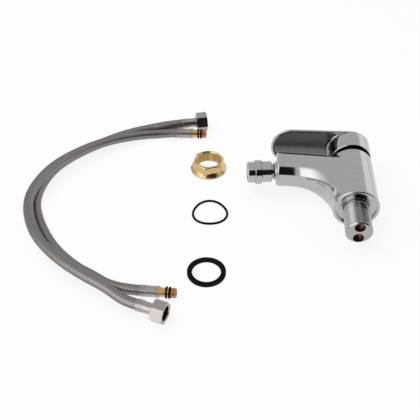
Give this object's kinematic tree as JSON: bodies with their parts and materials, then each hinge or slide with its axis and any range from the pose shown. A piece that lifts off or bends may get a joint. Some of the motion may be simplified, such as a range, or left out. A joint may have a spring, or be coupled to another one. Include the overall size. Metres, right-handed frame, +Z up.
{
  "type": "bidet mixer",
  "caption": "Single-lever bidet mixer with a swivelling aerator, laid out with its backnut, gasket, base seal and braided supply hoses.",
  "frame": {"origin": "centre of the mixer's mounting face, on the shank's axis", "axes": "+Y up the column from the mounting face to the lever, the spout towards -X, +Z up from the floor that the kit lies on"},
  "size_m": [0.3767, 0.3294, 0.049],
  "materials": {
    "chrome_plate": "polished chrome plate",
    "turned_brass": "bare turned brass",
    "shank_brass": "nickel-plated brass",
    "tail_brass": "bare brass, a little red",
    "nickel": "satin nickel plate",
    "braid": "stainless braid",
    "crimp_steel": "pressed stainless steel",
    "black_rubber": "black rubber",
    "dark_trim": "dark smooth trim",
    "white_polymer": "moulded polymer",
    "ceramic": null,
    "zinc": "plain cast zinc",
    "plug_gloss": "bright plated plug"
  },
  "bodies": {
    "mixer": {"body_casting": "chrome_plate", "threaded_shank": "shank_brass", "cartridge_seals": "black_rubber", "cartridge_base": "white_polymer", "fixed_disc": "ceramic", "cartridge_housing": "white_polymer", "cartridge_nut": "turned_brass", "dome_ring": "dark_trim", "seat_ring": "chrome_plate", "base_o_ring": "black_rubber", "base_gasket": "black_rubber", "backnut": "turned_brass", "inner_hose_tube": "braid", "inner_hose_tail_ferrule": "crimp_steel", "inner_hose_m10_tail": "tail_brass", "inner_hose_tail_o_rings": "black_rubber", "inner_hose_nut_ferrule": "crimp_steel", "inner_hose_nut_tailpiece": "nickel", "inner_hose_nut_washer": "black_rubber", "outer_hose_tube": "braid", "outer_hose_tail_ferrule": "crimp_steel", "outer_hose_m10_tail": "tail_brass", "outer_hose_tail_o_rings": "black_rubber", "outer_hose_nut_ferrule": "crimp_steel", "outer_hose_nut_tailpiece": "nickel", "outer_hose_nut_washer": "black_rubber"},
    "carrier": {"turning_carrier": "white_polymer", "pivot_pin": "zinc"},
    "lever": {"lever": "chrome_plate", "stem": "zinc", "grub_screw": "zinc", "index_plug": "plug_gloss"},
    "disc": {"moving_disc": "ceramic", "disc_driver": "white_polymer"},
    "spin": {"ball_seal": "black_rubber"},
    "outlet": {"swivel_ball": "chrome_plate", "aerator_housing": "chrome_plate", "aerator_insert": "white_polymer", "aerator_washer": "black_rubber"},
    "inner_nut": {"inner_hose_swivel_nut": "nickel"},
    "outer_nut": {"outer_hose_swivel_nut": "nickel"}
  },
  "joints": [
    {"name": "lever_turn", "type": "hinge", "parent": "mixer", "child": "carrier", "pos_m": [0, 0.07, 0], "axis": [0, 1, 0], "range_deg": [-50, 50]},
    {"name": "lever_lift", "type": "hinge", "parent": "carrier", "child": "lever", "pos_m": [0, 0.07, 0], "axis": [0, 0, -1], "range_deg": [0, 25]},
    {"name": "disc_slide", "type": "slide", "parent": "carrier", "child": "disc", "axis": [-1, 0, 0], "range_m": [0, 0.00545]},
    {"name": "outlet_spin", "type": "hinge", "parent": "mixer", "child": "spin", "pos_m": [-0.07754, 0.05991, 0], "axis": [-0.9925, -0.1219, 0], "continuous": true},
    {"name": "outlet_tilt", "type": "hinge", "parent": "spin", "child": "outlet", "pos_m": [-0.07754, 0.05991, 0], "axis": [0, 0, 1], "range_deg": [-15, 15]},
    {"name": "inner_nut_turn", "type": "hinge", "parent": "mixer", "child": "inner_nut", "pos_m": [-0.17507, 0.16693, -0.0144], "axis": [0.9763, 0.2164, 0], "continuous": true},
    {"name": "outer_nut_turn", "type": "hinge", "parent": "mixer", "child": "outer_nut", "pos_m": [-0.19552, -0.13521, -0.0144], "axis": [0.9438, -0.3305, 0], "continuous": true}
  ],
  "couplings": [
    {"joint": "disc_slide", "follows": "lever_lift", "m_per_rad": 0.012401}
  ]
}
